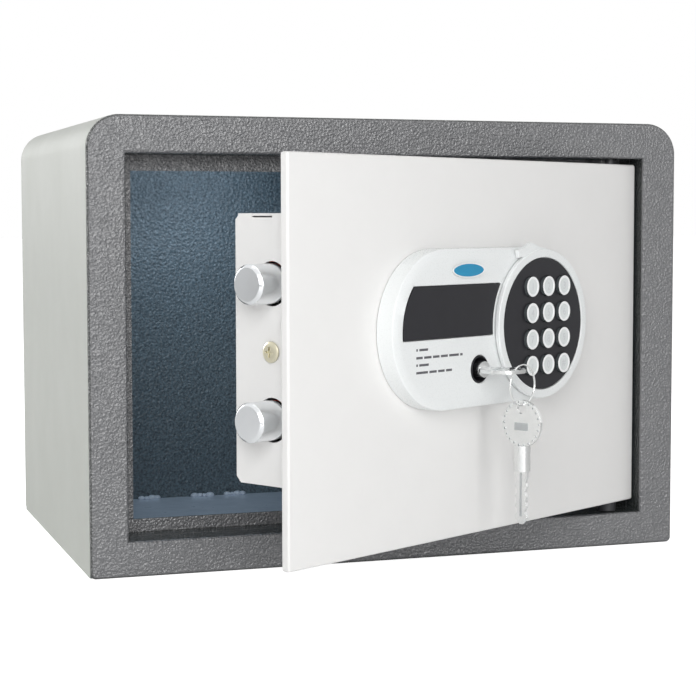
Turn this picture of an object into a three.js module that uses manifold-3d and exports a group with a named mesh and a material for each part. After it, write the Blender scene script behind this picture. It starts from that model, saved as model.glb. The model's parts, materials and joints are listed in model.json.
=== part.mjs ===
// In-room safe: folded steel body, recessed stop frame, concealed-hinge door with a motor-driven
// bolt carriage behind it, a keypad panel on its face, and an override lock with two keys.
// Millimetres, +Z up, front towards -Y, origin at the centre of the base.
import * as THREE from 'three';
import { mergeVertices } from 'three/addons/utils/BufferGeometryUtils.js';
import Module from 'manifold-3d';

const wasm = await Module();
wasm.setup();

// ---------------------------------------------------------------- driving dimensions
const GAP = 0.3;
const BODY = { width: 350, depth: 250, height: 250, sheet: 2, topRadius: 18, baseRadius: 3 };
const FRONT = -BODY.depth / 2;
const FRAME = {
  face: 4, wall: 1.5, edge: 1.8, half: 154, bottom: 19.5, top: 229.3,
  returnDepth: 18, lipDepth: 31.5, lipSide: 8.5, lipBottom: 7, lipTop: 8.6,
};
const FLOOR = { thickness: 3, holeRadius: 5, holeX: 90, holeY: 20 };
const BACK = { thickness: 1.8 };
const DOOR = {
  left: -148.5, right: 149.5, bottom: 26, top: 226, thickness: 5, setback: 0.5, edge: 1.2, restAngle: 30,
  corner: 1.5,
};
const CABLE_HOLE = { inside: 22, above: 12, radius: 8 };
const DOOR_FACE = FRONT + DOOR.setback;
const HINGE = {
  inset: 12.5, behindFace: 10, pinRadius: 3, lugHalf: 5, lugHeight: 18, reach: 9, blockWidth: 18,
  blockDepth: 12, blockHeight: 7, spacerRadius: 5.5, pinInset: 2, footReach: 12,
};
const PIVOT = new THREE.Vector3(DOOR.right - HINGE.inset, DOOR_FACE + HINGE.behindFace, 0);
const BOX = {
  end: 10, farEnd: 228, front: DOOR.thickness + GAP, back: 45, bottom: 64.5, top: 197, wall: 1.5, chamfer: 3,
};
const BOLT = {
  radius: 9.8, holeRadius: 11, chamfer: 1.4, tip: -7, length: 49, depth: 20.4, upper: 163.1, lower: 96.9,
  travel: 9, frameHoleRadius: 11.5,
};
const PLATE_SLOT = { front: 20, back: 34, low: 2, high: 1.2 };
const SCREW = {
  shank: 2, hole: 2.4, domeRadius: 3.6, headRadius: 5.2, dome: 1, head: 1.8, length: 11, sides: 24,
};
const CARRIER = { bar: 4, front: 14, back: 26, overhang: 10, arm: 42, armHeight: 6, pitchZ: 141 };
const RACK = { first: -3, last: 2, rootHalf: 0.26, tipHalf: 0.09 };
const GEAR = {
  teeth: 12, module: 1.5, bore: 2.3, shaft: 2, u: 68, thickness: 9, addendum: 0.8, dedendum: 1.2,
  rootHalf: 0.27, tipHalf: 0.1,
};
const MOTOR = { radius: 8, front: 27, back: 42 };
const GUIDE = { u: 28, thickness: 3, front: 6, back: 34, margin: 14, corner: 2 };
const BOARD = { left: 92, right: 150, bottom: 146, top: 188, front: 37, back: 38.6 };
const BATTERY = { radius: 7.1, length: 50, count: 4, pitch: 15.4, nubRadius: 2.6, nub: 1.2 };
const TRAY = { left: 162, width: 56, bottom: 78, floor: 22, wall: 1.5, back: 42.5, depthAxis: 34 };
const HATCH = {
  margin: 4, thickness: 1.5, openMargin: 1.5, rib: 2.5, ribs: 3, ribStart: 4, ribPitch: 5, ribMargin: 18,
  ribRise: 1, ribSunk: 0.5,
};
const RESET = { u: 132, z: 178, radius: 3, proud: 2.5, length: 6 };
const PANEL = {
  leftCentre: 104.5, rightCentre: 184, radius: 41.5, centreZ: 137.5, wall: 2.2, rim: 10.7, face: 11, front: 13,
  bevel: 1.4,
};
const RING = { inner: 35.9, outer: 40.5, back: 13.3, front: 16, edge: 0.6 };
const HOOD = {
  points: [[-22, 36], [3, 38.4]], curves: [[-6, 43, -12, 44], [-15, 42, -23, 40]], sunk: 0.5,
};
const DISC = { radius: 35.5, front: 15.5, faceHole: 34.2 };
const KEYPAD = {
  centreU: 186.7, centreZ: 136.5, pitchU: 14.6, pitchZ: 14.2, hole: 5.75, cap: 5.4, back: 12.2, front: 17.5,
  shoulder: 0.8, edgeIn: 0.7, crown: 0.1, sides: 24,
};
const KEY_NAMES = ['1', '2', '3', '4', '5', '6', '7', '8', '9', 'star', '0', 'hash'];
const WINDOW = { top: 160.2, bottom: 133.5, leftRadius: 35, rightRadius: 41.6, back: 11.2, front: 12.8 };
const BADGE = { u: 120.4, z: 167.8, width: 26, height: 7.6, back: 13.3, front: 14.1, corner: 2.4 };
const PAD_BOARD = { radius: 33, back: 7.2, front: 8.8 };
const LOCK = {
  u: 131.5, z: 115.8, cupOuter: 7.2, cupInner: 6.5, cupBack: 1, cupFront: 12.8, bodyRadius: 9, nutRadius: 13,
  nutHeight: 4, bodyBack: 24, plugRadius: 5, plugBack: 27.5, plugFront: 0.5, slotHeight: 2.6, slotWidth: 8.4,
};
const CAM = { back: 29.8, front: 27.8, hub: 5.5, length: 21, tipRadius: 3 };
const KEY = {
  bowRadius: 12.25, bowCentre: 11.5, bowThickness: 1.8, holeRadius: 2.7, holeOffset: 7.7, collarRadius: 4.3,
  collarLength: 13.5, collarFront: 16, bladeLength: 28.5, bladeWidth: 7.4, bladeThickness: 2, cuts: 4,
};
const CUTS = {
  start: 4, uncut: 8, shallow: 0.7, deeper: 0.5, down: 0.3, up: 0.6, end: 0.9, tip: 3, tipHalf: 0.8,
};
const LOOP = { radius: 10.6, wire: 0.7, sideways: 6.9, drop: 7.5 };
const LEAD = { radius: 0.6, spacing: 1.7, sides: 6, steps: 48 };
// Stations of the middle lead as u, t, z, then how much of the spacing its neighbours take along u and z.
const LEAD_ROUTE = [
  [88, 40, 168, 0, 1], [60, 39.5, 182, 0, 1], [30, 38, 181, 0, 1], [18, 33, 178.5, 0.6, 1.2],
  [16.5, 28, 175, 1, 0.8], [16.5, 23.5, 174.05, 1, 0], [16.5, 19, 174.1, 1, 0], [16.5, 14.6, 172.5, 1, 0],
  [16.5, 11.4, 169.7, 1, 0], [16.5, 8.6, 165, 1, 0], [16.5, 8, 150, 1, 0], [16.5, 8.2, 122, 1, 0],
  [16.5, 8.8, 113, 1, 0], [16.5, 11.6, 108.4, 1, 0], [16.5, 15.4, 107, 1, 0], [16.5, 20, 108, 1, 0],
  [16.5, 27, 109.6, 0.8, 0.8], [18, 33, 111, 0.3, 1.1], [30, 38, 113, 0, 1], [48, 39.5, 124, 0, 1],
  [57, 39.5, 130, 0, 1],
];

// ---------------------------------------------------------------- helpers
const paint = {
  frame: { color: 0x5b5d60, roughness: 0.45, metalness: 0.1 },
  shell: { color: 0x6c6f6b, roughness: 0.35, metalness: 0.1 },
  inside: { color: 0x46586a, roughness: 0.6, metalness: 0.1 },
  door: { color: 0xe6e6e3, roughness: 0.5, metalness: 0 },
  chrome: { color: 0xd9dde0, roughness: 0.15, metalness: 1 },
  zinc: { color: 0xc8c2a8, roughness: 0.35, metalness: 1 },
  panel: { color: 0xe4e8e8, roughness: 0.4, metalness: 0.2 },
  black: { color: 0x1c1e20, roughness: 0.35, metalness: 0 },
  badge: { color: 0x1f8fc0, roughness: 0.3, metalness: 0 },
  cap: { color: 0xdfe6e6, roughness: 0.4, metalness: 0 },
  nickel: { color: 0xd2d4d2, roughness: 0.2, metalness: 1 },
  steel: { color: 0x9a9c9e, roughness: 0.35, metalness: 1 },
  board: { color: 0x1d5a3a, roughness: 0.5, metalness: 0 },
  cell: { color: 0x2b3a66, roughness: 0.4, metalness: 0.3 },
  dark: { color: 0x2c2d2f, roughness: 0.6, metalness: 0 },
  red: { color: 0xb3201c, roughness: 0.45, metalness: 0 },
  yellow: { color: 0xd9a21c, roughness: 0.45, metalness: 0 },
};

const safe = new THREE.Group();
const doorHinge = new THREE.Group();
doorHinge.position.copy(PIVOT);
doorHinge.rotation.z = THREE.MathUtils.degToRad(DOOR.restAngle);
const door = new THREE.Group();
door.position.copy(PIVOT).negate();
doorHinge.add(door);
safe.add(doorHinge);

/** Adds one named piece to a group. */
function piece(group, name, geometry, finish) {
  const mesh = new THREE.Mesh(geometry, new THREE.MeshStandardMaterial(finish));
  mesh.name = name;
  group.add(mesh);
  return mesh;
}

/** Turns a geometry into a manifold solid. */
function solid(geometry) {
  const bare = geometry.clone();
  bare.deleteAttribute('normal');
  bare.deleteAttribute('uv');
  const merged = mergeVertices(bare, 1e-4);
  return new wasm.Manifold(new wasm.Mesh({
    numProp: 3,
    vertProperties: new Float32Array(merged.attributes.position.array),
    triVerts: new Uint32Array(merged.index.array),
  }));
}

/** Turns a manifold solid back into a geometry. */
function geometryOf(manifold) {
  const mesh = manifold.getMesh();
  const geometry = new THREE.BufferGeometry();
  geometry.setAttribute('position', new THREE.BufferAttribute(mesh.vertProperties, 3));
  geometry.setIndex(new THREE.BufferAttribute(mesh.triVerts, 1));
  return geometry;
}

const join = (first, ...others) => geometryOf(others.reduce((sum, g) => sum.add(solid(g)), solid(first)));
const cut = (first, ...others) => geometryOf(others.reduce((rest, g) => rest.subtract(solid(g)), solid(first)));

/** Extrudes an outline drawn in X and Z from y = front back to y = back. */
function slabXZ(shape, front, back, bevel = 0, curveSegments = 8) {
  const geometry = new THREE.ExtrudeGeometry(shape, {
    depth: back - front - 2 * bevel, curveSegments, bevelEnabled: bevel > 0, bevelThickness: bevel,
    bevelSize: bevel, bevelOffset: -bevel, bevelSegments: 3,
  });
  return geometry.rotateX(Math.PI / 2).translate(0, back - bevel, 0);
}

/** Extrudes an outline drawn in Y and Z from x = left to x = right. */
function slabYZ(shape, left, right, curveSegments = 8) {
  const options = { depth: right - left, curveSegments, bevelEnabled: false };
  const turn = new THREE.Matrix4().makeBasis(
    new THREE.Vector3(0, 1, 0), new THREE.Vector3(0, 0, 1), new THREE.Vector3(1, 0, 0));
  return new THREE.ExtrudeGeometry(shape, options).applyMatrix4(turn).translate(left, 0, 0);
}

/** A box between two corners. */
function block(x0, y0, z0, x1, y1, z1) {
  const box = new THREE.BoxGeometry(x1 - x0, y1 - y0, z1 - z0);
  return box.translate((x0 + x1) / 2, (y0 + y1) / 2, (z0 + z1) / 2);
}

/** A rod along one axis between two stations; a and b place it on the other two axes, in X, Y, Z order. */
function rod(axis, radius, from, to, a, b, sides = 32) {
  const geometry = new THREE.CylinderGeometry(radius, radius, to - from, sides);
  geometry.translate(0, (from + to) / 2, 0);
  if (axis === 'x') return geometry.rotateZ(-Math.PI / 2).translate(0, a, b);
  if (axis === 'z') return geometry.rotateX(Math.PI / 2).translate(a, b, 0);
  return geometry.translate(a, 0, b);
}

/** A rectangle outline with one corner radius for the top pair and one for the bottom pair. */
function rectangle(x0, z0, x1, z1, topRadius = 0, bottomRadius = topRadius) {
  const shape = new THREE.Shape();
  shape.moveTo(x0 + bottomRadius, z0);
  shape.lineTo(x1 - bottomRadius, z0);
  if (bottomRadius) shape.absarc(x1 - bottomRadius, z0 + bottomRadius, bottomRadius, -Math.PI / 2, 0);
  shape.lineTo(x1, z1 - topRadius);
  if (topRadius) shape.absarc(x1 - topRadius, z1 - topRadius, topRadius, 0, Math.PI / 2);
  shape.lineTo(x0 + topRadius, z1);
  if (topRadius) shape.absarc(x0 + topRadius, z1 - topRadius, topRadius, Math.PI / 2, Math.PI);
  shape.lineTo(x0, z0 + bottomRadius);
  if (bottomRadius) shape.absarc(x0 + bottomRadius, z0 + bottomRadius, bottomRadius, Math.PI, 1.5 * Math.PI);
  return shape;
}

/** A full circle outline. */
function circle(x, z, radius) {
  return new THREE.Shape().absarc(x, z, radius, 0, 2 * Math.PI);
}

/** A closed ring turned about Y from a profile of [radius, y] points. */
function turned(points, sides = 32) {
  return new THREE.LatheGeometry(points.map(([radius, y]) => new THREE.Vector2(radius, y)), sides);
}

/** Door stations: u runs from the free edge to the hinge, t goes back from the face, off stands in front. */
const atU = (u) => DOOR.left + u;
const atT = (t) => DOOR_FACE + t;
const atOff = (off) => DOOR_FACE - off;

// ---------------------------------------------------------------- body
function openingOutline(margin = 0) {
  return rectangle(-FRAME.half - margin, FRAME.bottom - margin, FRAME.half + margin, FRAME.top + margin);
}

/** A tube of sheet that lines the opening from y = front to y = back. */
function jambTube(front, back) {
  const outline = openingOutline(FRAME.wall);
  outline.holes.push(openingOutline());
  return slabXZ(outline, front, back);
}

/** The holes that the two bolts shoot into, through the jamb on the lock side. */
function boltHoles() {
  return [BOLT.upper, BOLT.lower].map((z) => rod(
    'x', BOLT.frameHoleRadius, -FRAME.half - 3, -FRAME.half + 0.1, atT(BOLT.depth), z));
}

/** The holes that the hinge pins pass through, in the jamb's top and bottom. */
function pinHoles() {
  const radius = HINGE.pinRadius + 1;
  return [
    rod('z', radius, FRAME.top - 1, FRAME.top + 3, PIVOT.x, PIVOT.y),
    rod('z', radius, FRAME.bottom - 3, FRAME.bottom + 1, PIVOT.x, PIVOT.y),
  ];
}

function frontFrame() {
  const { width, height, topRadius, baseRadius } = BODY;
  const outline = rectangle(-width / 2, 0, width / 2, height, topRadius, baseRadius);
  outline.holes.push(openingOutline());
  const face = slabXZ(outline, FRONT, FRONT + FRAME.face, FRAME.edge);
  const tube = jambTube(FRONT + FRAME.edge, FRONT + FRAME.returnDepth);
  const joined = join(face, tube);
  piece(safe, 'front_frame', cut(joined, ...boltHoles(), ...pinHoles()), paint.frame);
}

function stopFrame() {
  const front = FRONT + FRAME.returnDepth + GAP;
  const lipFront = FRONT + FRAME.lipDepth;
  const lipBack = lipFront + FRAME.wall;
  const lip = openingOutline(FRAME.wall);
  const side = FRAME.half - FRAME.lipSide;
  lip.holes.push(rectangle(-side, FRAME.bottom + FRAME.lipBottom, side, FRAME.top - FRAME.lipTop));
  const liner = join(jambTube(front, lipBack - 0.5), slabXZ(lip, lipFront, lipBack));
  piece(safe, 'stop_frame', cut(liner, ...boltHoles()), paint.frame);
}

function bodyShell() {
  const { width, height, sheet, topRadius } = BODY;
  const half = width / 2;
  const inner = topRadius - sheet;
  const outline = new THREE.Shape();
  outline.moveTo(half, 0);
  outline.absarc(half - topRadius, height - topRadius, topRadius, 0, Math.PI / 2);
  outline.absarc(-half + topRadius, height - topRadius, topRadius, Math.PI / 2, Math.PI);
  outline.lineTo(-half, 0);
  outline.lineTo(-half + sheet, 0);
  outline.absarc(-half + topRadius, height - topRadius, inner, Math.PI, Math.PI / 2, true);
  outline.absarc(half - topRadius, height - topRadius, inner, Math.PI / 2, 0, true);
  outline.lineTo(half - sheet, 0);
  const back = -FRONT - BACK.thickness - GAP;
  piece(safe, 'body_shell', slabXZ(outline, FRONT + FRAME.face + GAP, back), paint.shell);
}

function floorPanel() {
  const half = BODY.width / 2 - BODY.sheet - GAP;
  const outline = new THREE.Shape();
  const front = FRONT + FRAME.face + GAP;
  const back = -FRONT - BACK.thickness - GAP;
  outline.moveTo(-half, front);
  outline.lineTo(half, front);
  outline.lineTo(half, back);
  outline.lineTo(-half, back);
  for (const x of [-FLOOR.holeX, FLOOR.holeX]) {
    outline.holes.push(circle(x, FLOOR.holeY, FLOOR.holeRadius));
  }
  const geometry = new THREE.ExtrudeGeometry(outline, { depth: FLOOR.thickness, bevelEnabled: false });
  piece(safe, 'floor_panel', geometry, paint.inside);
}

function backPanel() {
  const { width, height, topRadius, baseRadius } = BODY;
  const outline = rectangle(-width / 2, 0, width / 2, height, topRadius, baseRadius);
  piece(safe, 'back_panel', slabXZ(outline, -FRONT - BACK.thickness, -FRONT), paint.shell);
}

/** A drilled block behind the jamb, in which one hinge pin turns. */
function hingeBlock(name, bottom) {
  const x0 = PIVOT.x - HINGE.blockWidth / 2;
  const y0 = FRONT + FRAME.face + GAP;
  const outer = block(x0, y0, bottom, x0 + HINGE.blockWidth, y0 + HINGE.blockDepth, bottom + HINGE.blockHeight);
  const bore = rod('z', HINGE.pinRadius + GAP, bottom - 1, bottom + HINGE.blockHeight + 1, PIVOT.x, PIVOT.y);
  piece(safe, name, cut(outer, bore), paint.steel);
}

// ---------------------------------------------------------------- door and hinge
function doorPlate() {
  const outline = rectangle(DOOR.left, DOOR.bottom, DOOR.right, DOOR.top, DOOR.corner);
  outline.holes.push(circle(atU(LOCK.u), LOCK.z, LOCK.bodyRadius + GAP));
  const { inside, above, radius } = CABLE_HOLE;
  outline.holes.push(circle(atU(PANEL.rightCentre - inside), PANEL.centreZ + above, radius));
  piece(door, 'door_plate', slabXZ(outline, atT(0), atT(DOOR.thickness), DOOR.edge), paint.door);
}

/** One hinge lug with its pin; side is 1 at the top of the door and -1 at its foot. */
function hingeLug(name, side) {
  const edge = side > 0 ? DOOR.top : DOOR.bottom;
  const z0 = Math.min(edge, edge - side * HINGE.lugHeight);
  const { lugHalf, pinRadius } = HINGE;
  const front = atT(DOOR.thickness + GAP);
  const lug = block(
    PIVOT.x - lugHalf, front, z0, PIVOT.x + lugHalf, PIVOT.y + lugHalf, z0 + HINGE.lugHeight);
  const bore = rod('z', pinRadius + GAP, z0 - 1, z0 + HINGE.lugHeight + 1, PIVOT.x, PIVOT.y);
  piece(door, `hinge_lug_${name}`, cut(lug, bore), paint.door);
  const inner = edge - side * (HINGE.lugHeight - HINGE.pinInset);
  const outer = edge + side * (side > 0 ? HINGE.reach : HINGE.footReach);
  piece(door, `hinge_pin_${name}`,
    rod('z', pinRadius, Math.min(inner, outer), Math.max(inner, outer), PIVOT.x, PIVOT.y), paint.steel);
}

function hingeSpacer() {
  const { pinRadius, spacerRadius } = HINGE;
  const bottom = FRAME.bottom + GAP;
  const ring = circle(PIVOT.x, PIVOT.y, spacerRadius);
  ring.holes.push(circle(PIVOT.x, PIVOT.y, pinRadius + GAP));
  const depth = DOOR.bottom - GAP - bottom;
  const geometry = new THREE.ExtrudeGeometry(ring, { depth, bevelEnabled: false, curveSegments: 16 });
  piece(door, 'hinge_spacer', geometry.translate(0, 0, bottom), paint.steel);
}

// ---------------------------------------------------------------- lock box
function boltPlate() {
  const { front, back, bottom, top, chamfer, end, wall } = BOX;
  const outline = new THREE.Shape();
  outline.moveTo(atT(front), bottom);
  outline.lineTo(atT(back - chamfer), bottom);
  outline.lineTo(atT(back), bottom + chamfer);
  outline.lineTo(atT(back), top - chamfer);
  outline.lineTo(atT(back - chamfer), top);
  outline.lineTo(atT(front), top);
  for (const z of [BOLT.upper, BOLT.lower]) {
    outline.holes.push(circle(atT(BOLT.depth), z, BOLT.holeRadius));
  }
  outline.holes.push(circle(atT(BOLT.depth), (BOLT.upper + BOLT.lower) / 2, SCREW.hole));
  const slot = PLATE_SLOT;
  outline.holes.push(rectangle(atT(slot.front), top - slot.low, atT(slot.back), top - slot.high));
  piece(door, 'bolt_plate', slabYZ(outline, atU(end), atU(end + wall), 12), paint.door);
}

/** The battery opening of the cover, as [left, bottom, right, top]. */
function hatchOpening() {
  const height = BATTERY.count * BATTERY.pitch + 2 * TRAY.wall;
  const m = HATCH.openMargin;
  return [atU(TRAY.left) - m, TRAY.bottom - m, atU(TRAY.left + TRAY.width) + m, TRAY.bottom + height + m];
}

function lockCover() {
  const { end, farEnd, front, back, bottom, top, wall } = BOX;
  const left = atU(end + wall + GAP);
  const outer = block(left, atT(front), bottom, atU(farEnd), atT(back), top);
  const inner = block(
    left - 1, atT(front) - 1, bottom + wall, atU(farEnd - wall), atT(back - wall), top - wall);
  const [x0, z0, x1, z1] = hatchOpening();
  const hatch = block(x0, atT(back - wall) - 1, z0, x1, atT(back) + 1, z1);
  const button = rod('y', RESET.radius + GAP, atT(back - wall) - 1, atT(back) + 1, atU(RESET.u), RESET.z, 20);
  piece(door, 'lock_cover', cut(outer, inner, hatch, button), paint.door);
}

/** A bolt with a chamfered tip, along X. */
function bolt(name, z) {
  const { radius, chamfer, length } = BOLT;
  const profile = [[0, 0], [radius, 0], [radius, length - chamfer], [radius - chamfer, length], [0, length]];
  const geometry = turned(profile, 36).rotateZ(Math.PI / 2);
  piece(door, name, geometry.translate(atU(BOLT.tip + length), atT(BOLT.depth), z), paint.chrome);
}

/** The bar that joins the bolts, with the toothed arm that the drive gear runs on. */
function boltCarrier() {
  const start = atU(BOLT.tip + BOLT.length) + GAP;
  const bar = start + CARRIER.bar;
  const pitch = Math.PI * GEAR.module;
  const tip = CARRIER.pitchZ - GEAR.addendum * GEAR.module;
  const root = CARRIER.pitchZ + GEAR.dedendum * GEAR.module;
  const outline = new THREE.Shape();
  outline.moveTo(start, BOLT.lower - CARRIER.overhang);
  outline.lineTo(bar, BOLT.lower - CARRIER.overhang);
  outline.lineTo(bar, root);
  const centre = atU(GEAR.u);
  for (let tooth = RACK.first; tooth <= RACK.last; tooth += 1) {
    const x = centre + tooth * pitch;
    outline.lineTo(x - RACK.rootHalf * pitch, root);
    outline.lineTo(x - RACK.tipHalf * pitch, tip);
    outline.lineTo(x + RACK.tipHalf * pitch, tip);
    outline.lineTo(x + RACK.rootHalf * pitch, root);
  }
  outline.lineTo(start + CARRIER.arm, root);
  outline.lineTo(start + CARRIER.arm, root + CARRIER.armHeight);
  outline.lineTo(bar, root + CARRIER.armHeight);
  outline.lineTo(bar, BOLT.upper + CARRIER.overhang);
  outline.lineTo(start, BOLT.upper + CARRIER.overhang);
  piece(door, 'bolt_carrier', slabXZ(outline, atT(CARRIER.front), atT(CARRIER.back)), paint.zinc);
}

function gearCentreZ() {
  return CARRIER.pitchZ - GEAR.teeth * GEAR.module / 2;
}

function driveGear() {
  const pitchRadius = GEAR.teeth * GEAR.module / 2;
  const rootRadius = pitchRadius - GEAR.dedendum * GEAR.module;
  const tipRadius = pitchRadius + GEAR.addendum * GEAR.module;
  const step = 2 * Math.PI / GEAR.teeth;
  const point = (radius, angle) => [radius * Math.sin(angle), radius * Math.cos(angle)];
  const outline = new THREE.Shape();
  for (let tooth = 0; tooth < GEAR.teeth; tooth += 1) {
    const middle = (tooth + 0.5) * step;
    const corners = [
      point(rootRadius, middle - GEAR.rootHalf * step), point(tipRadius, middle - GEAR.tipHalf * step),
      point(tipRadius, middle + GEAR.tipHalf * step), point(rootRadius, middle + GEAR.rootHalf * step),
    ];
    corners.forEach(([x, z], i) => (tooth + i === 0 ? outline.moveTo(x, z) : outline.lineTo(x, z)));
  }
  outline.holes.push(circle(0, 0, GEAR.bore));
  const front = atT(BOLT.depth - GEAR.thickness / 2);
  const geometry = slabXZ(outline, front, front + GEAR.thickness);
  piece(door, 'drive_gear', geometry.translate(atU(GEAR.u), 0, gearCentreZ()), paint.dark);
}

function gearMotor() {
  const { radius, front, back } = MOTOR;
  const shaftFront = BOLT.depth - GEAR.thickness / 2;
  const profile = [
    [0, shaftFront], [GEAR.shaft, shaftFront], [GEAR.shaft, front], [radius, front], [radius, back], [0, back],
  ];
  piece(door, 'gear_motor', turned(profile).translate(atU(GEAR.u), DOOR_FACE, gearCentreZ()), paint.steel);
}

function boltGuide() {
  const { u, thickness, front, back, margin, corner } = GUIDE;
  const outline = rectangle(atT(front), BOLT.lower - margin, atT(back), BOLT.upper + margin, corner);
  for (const z of [BOLT.upper, BOLT.lower]) {
    outline.holes.push(circle(atT(BOLT.depth), z, BOLT.radius + GAP));
  }
  piece(door, 'bolt_guide', slabYZ(outline, atU(u), atU(u + thickness), 12), paint.dark);
}

/** A pan-head screw in the bolt plate. */
function sideScrew() {
  const { shank, domeRadius, headRadius, dome, head, length, sides } = SCREW;
  const profile = [
    [0, 0], [domeRadius, 0], [headRadius, dome], [headRadius, head], [shank, head], [shank, length],
    [0, length],
  ];
  const geometry = turned(profile, sides).rotateZ(-Math.PI / 2);
  const x = atU(BOX.end) - head - GAP;
  piece(door, 'side_screw', geometry.translate(x, atT(BOLT.depth), (BOLT.upper + BOLT.lower) / 2), paint.zinc);
}

function circuitBoard() {
  const { left, right, bottom, top, front, back } = BOARD;
  piece(door, 'circuit_board', block(atU(left), atT(front), bottom, atU(right), atT(back), top), paint.board);
}

function batteryTray() {
  const { left, width, bottom, floor, wall, back } = TRAY;
  const height = BATTERY.count * BATTERY.pitch + 2 * wall;
  const outer = block(atU(left), atT(floor), bottom, atU(left + width), atT(back), bottom + height);
  const inner = block(
    atU(left + wall), atT(floor + wall), bottom + wall, atU(left + width - wall), atT(back) + 1,
    bottom + height - wall);
  piece(door, 'battery_tray', cut(outer, inner), paint.dark);
}

/** One AA cell; alternate cells point the other way. */
function cell(index) {
  const { radius, length, nubRadius, nub, pitch } = BATTERY;
  const profile = [
    [0, 0], [radius, 0], [radius, length - nub], [nubRadius, length - nub], [nubRadius, length], [0, length],
  ];
  const flip = index % 2 ? 1 : -1;
  const geometry = turned(profile, 24).translate(0, -length / 2, 0).rotateZ(flip * Math.PI / 2);
  const z = TRAY.bottom + TRAY.wall + (index - 0.5) * pitch;
  geometry.translate(atU(TRAY.left + TRAY.width / 2), atT(TRAY.depthAxis), z);
  piece(door, `battery_${index}`, geometry, paint.cell);
}

function batteryCover() {
  const [x0, z0, x1, z1] = hatchOpening();
  const m = HATCH.margin;
  const front = atT(BOX.back) + GAP;
  let plate = block(x0 - m, front, z0 - m, x1 + m, front + HATCH.thickness, z1 + m);
  const { rib, ribs, ribStart, ribPitch, ribMargin, ribRise, ribSunk, thickness } = HATCH;
  for (let i = 0; i < ribs; i += 1) {
    const x = x0 + ribStart + i * ribPitch;
    plate = join(plate, block(
      x, front + ribSunk, z0 + ribMargin, x + rib, front + thickness + ribRise, z1 - ribMargin));
  }
  piece(door, 'battery_cover', plate, paint.door);
}

function resetButton() {
  const back = BOX.back + RESET.proud;
  const geometry = rod('y', RESET.radius, atT(back - RESET.length), atT(back), atU(RESET.u), RESET.z, 20);
  piece(door, 'reset_button', geometry, paint.red);
}

/** One wire lead from the circuit board round the bolt plate to the motor; index sets it beside the others. */
function lead(name, index, finish) {
  const s = (index - 1) * LEAD.spacing;
  const path = new THREE.CatmullRomCurve3(LEAD_ROUTE.map(
    ([u, t, z, along, up]) => new THREE.Vector3(atU(u + along * s), atT(t), z + up * s)));
  const section = new THREE.Shape();
  for (let i = 0; i < LEAD.sides; i += 1) {
    const angle = 2 * Math.PI * i / LEAD.sides;
    const [x, y] = [LEAD.radius * Math.cos(angle), LEAD.radius * Math.sin(angle)];
    if (i === 0) section.moveTo(x, y);
    else section.lineTo(x, y);
  }
  piece(door, name, new THREE.ExtrudeGeometry(section, { steps: LEAD.steps, extrudePath: path }), finish);
}

// ---------------------------------------------------------------- keypad panel
/** The panel outline: two half rounds joined by straight sides, grown by margin. */
function panelOutline(margin = 0) {
  const { leftCentre, rightCentre, radius, centreZ } = PANEL;
  const shape = new THREE.Shape();
  shape.absarc(atU(rightCentre), centreZ, radius + margin, -Math.PI / 2, Math.PI / 2);
  shape.absarc(atU(leftCentre), centreZ, radius + margin, Math.PI / 2, 1.5 * Math.PI);
  return shape;
}

/** The display window outline: flat top and bottom, curved ends that follow the panel and the ring. */
function windowOutline(margin = 0) {
  const { leftCentre, rightCentre, centreZ } = PANEL;
  const top = WINDOW.top + margin - centreZ;
  const bottom = WINDOW.bottom - margin - centreZ;
  const left = WINDOW.leftRadius + margin;
  const right = WINDOW.rightRadius - margin;
  const shape = new THREE.Shape();
  shape.absarc(atU(leftCentre), centreZ, left,
    Math.PI - Math.asin(top / left), Math.PI - Math.asin(bottom / left));
  shape.absarc(atU(rightCentre), centreZ, right,
    Math.PI - Math.asin(bottom / right), Math.PI - Math.asin(top / right), true);
  return shape;
}

function panelHousing() {
  const outline = panelOutline();
  outline.holes.push(panelOutline(-PANEL.wall));
  piece(door, 'panel_housing', slabXZ(outline, atOff(PANEL.rim), atOff(GAP), 0, 20), paint.panel);
}

function panelFace() {
  const outline = panelOutline();
  outline.holes.push(windowOutline(GAP));
  outline.holes.push(circle(atU(PANEL.rightCentre), PANEL.centreZ, DISC.faceHole));
  outline.holes.push(circle(atU(LOCK.u), LOCK.z, LOCK.cupOuter + GAP));
  piece(door, 'panel_face', slabXZ(outline, atOff(PANEL.front), atOff(PANEL.face), 0, 20), paint.panel);
}

function ringBezel() {
  const x = atU(PANEL.rightCentre);
  const outline = circle(x, PANEL.centreZ, RING.outer);
  outline.holes.push(circle(x, PANEL.centreZ, RING.inner));
  const ring = slabXZ(outline, atOff(RING.front), atOff(RING.back), RING.edge, 34);
  const hood = new THREE.Shape();
  const z = PANEL.centreZ;
  const [start, end] = HOOD.points;
  hood.moveTo(x + start[0], z + start[1]);
  hood.lineTo(x + end[0], z + end[1]);
  for (const [bendX, bendZ, toX, toZ] of HOOD.curves) {
    hood.quadraticCurveTo(x + bendX, z + bendZ, x + toX, z + toZ);
  }
  const raised = slabXZ(hood, atOff(RING.front - HOOD.sunk), atOff(RING.back), 0, 4);
  piece(door, 'ring_bezel', join(ring, raised), paint.panel);
}

/** The place of one key, by its row and column. */
function keyPlace(row, column) {
  return [atU(KEYPAD.centreU + (column - 1) * KEYPAD.pitchU), KEYPAD.centreZ + (1.5 - row) * KEYPAD.pitchZ];
}

function keypadDisc() {
  const outline = circle(atU(PANEL.rightCentre), PANEL.centreZ, DISC.radius);
  KEY_NAMES.forEach((_, i) => outline.holes.push(circle(...keyPlace(Math.floor(i / 3), i % 3), KEYPAD.hole)));
  piece(door, 'keypad_disc', slabXZ(outline, atOff(DISC.front), atOff(RING.back), 0, 24), paint.black);
}

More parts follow.
